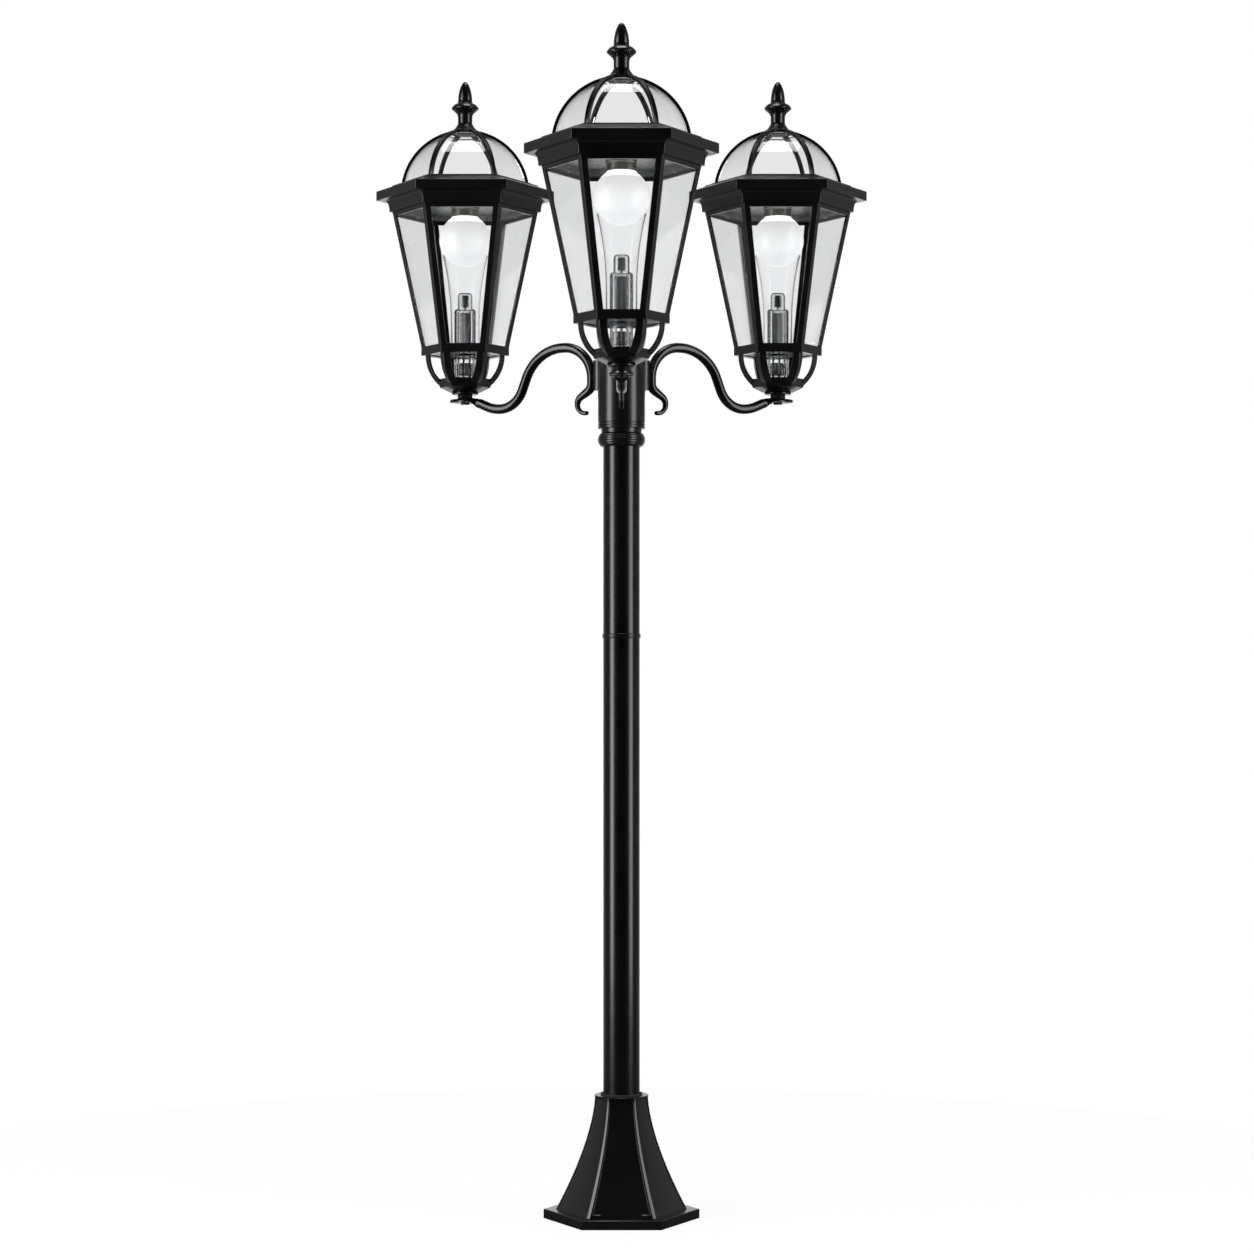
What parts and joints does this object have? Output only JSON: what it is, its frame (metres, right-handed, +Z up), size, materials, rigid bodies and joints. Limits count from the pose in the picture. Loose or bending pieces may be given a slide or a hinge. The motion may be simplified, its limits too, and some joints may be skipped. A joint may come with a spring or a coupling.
{
  "type": "garden lamp post",
  "caption": "Black garden lamp post: scroll arms carry six-sided solar lanterns with glass domes over a round pole and a flared six-sided base.",
  "frame": {"origin": "middle of the base plate's underside, on the ground", "axes": "+Z up the pole; the front arm points along -Y; the other arms lie a third of a turn to either side, towards +X and -X"},
  "size_m": [0.9536, 0.8259, 2.1765],
  "materials": {
    "black_casting": "satin",
    "black_pole": "satin",
    "rubber": "matte",
    "zinc_steel": "satin",
    "dark_steel": "satin",
    "clear_glass": "gloss",
    "opal_glass": "satin",
    "solar_glass": "gloss",
    "socket_metal": "satin",
    "cell_wrap": "gloss",
    "board": "satin",
    "black_plastic": "matte",
    "wire_jacket": "satin"
  },
  "bodies": {
    "post": {"base_plate": "black_casting", "lower_pole": "black_pole", "joint_ring": "black_casting", "upper_pole": "black_pole", "hub_collar": "black_casting", "hub": "black_casting", "hub_cap": "black_casting", "arm_front": "black_casting", "arm_right": "black_casting", "arm_left": "black_casting", "arm_screws": "zinc_steel", "set_screws": "zinc_steel", "seat_nuts": "dark_steel", "seat_bolts": "dark_steel", "floor_plates": "zinc_steel", "ceiling_plates": "zinc_steel", "roof_screws": "zinc_steel", "lamp_sockets": "socket_metal", "batteries": "cell_wrap", "circuit_boards": "board", "switch_bodies": "black_plastic", "leads": "wire_jacket", "basket_front": "black_casting", "basket_right": "black_casting", "basket_left": "black_casting", "cage_front": "black_casting", "cage_right": "black_casting", "cage_left": "black_casting", "cage_panes_front": "clear_glass", "cage_panes_right": "clear_glass", "cage_panes_left": "clear_glass", "glass_column_front": "clear_glass", "glass_column_right": "clear_glass", "glass_column_left": "clear_glass", "chimney_front": "clear_glass", "chimney_right": "clear_glass", "chimney_left": "clear_glass", "bulb_front": "opal_glass", "bulb_right": "opal_glass", "bulb_left": "opal_glass", "roof_front": "black_casting", "roof_right": "black_casting", "roof_left": "black_casting", "solar_panel_front": "solar_glass", "solar_panel_right": "solar_glass", "solar_panel_left": "solar_glass", "dome_frame_front": "black_casting", "dome_frame_right": "black_casting", "dome_frame_left": "black_casting", "dome_panes_front": "clear_glass", "dome_panes_right": "clear_glass", "dome_panes_left": "clear_glass", "finial_front": "black_casting", "finial_right": "black_casting", "finial_left": "black_casting"},
    "base_cover": {"base_cover": "black_casting", "cover_ring": "rubber"},
    "switch_front": {"switch_front": "black_plastic"},
    "switch_right": {"switch_right": "black_plastic"},
    "switch_left": {"switch_left": "black_plastic"}
  },
  "joints": [
    {"name": "base_cover_slide", "type": "slide", "parent": "post", "child": "base_cover", "axis": [0, 0, 1], "range_m": [0, 0.855]},
    {"name": "switch_slide_front", "type": "slide", "parent": "post", "child": "switch_front", "axis": [1, 0, 0], "range_m": [-0.003, 0.003]},
    {"name": "switch_slide_right", "type": "slide", "parent": "post", "child": "switch_right", "axis": [1, 0, 0], "range_m": [-0.003, 0.003]},
    {"name": "switch_slide_left", "type": "slide", "parent": "post", "child": "switch_left", "axis": [1, 0, 0], "range_m": [-0.003, 0.003]}
  ]
}
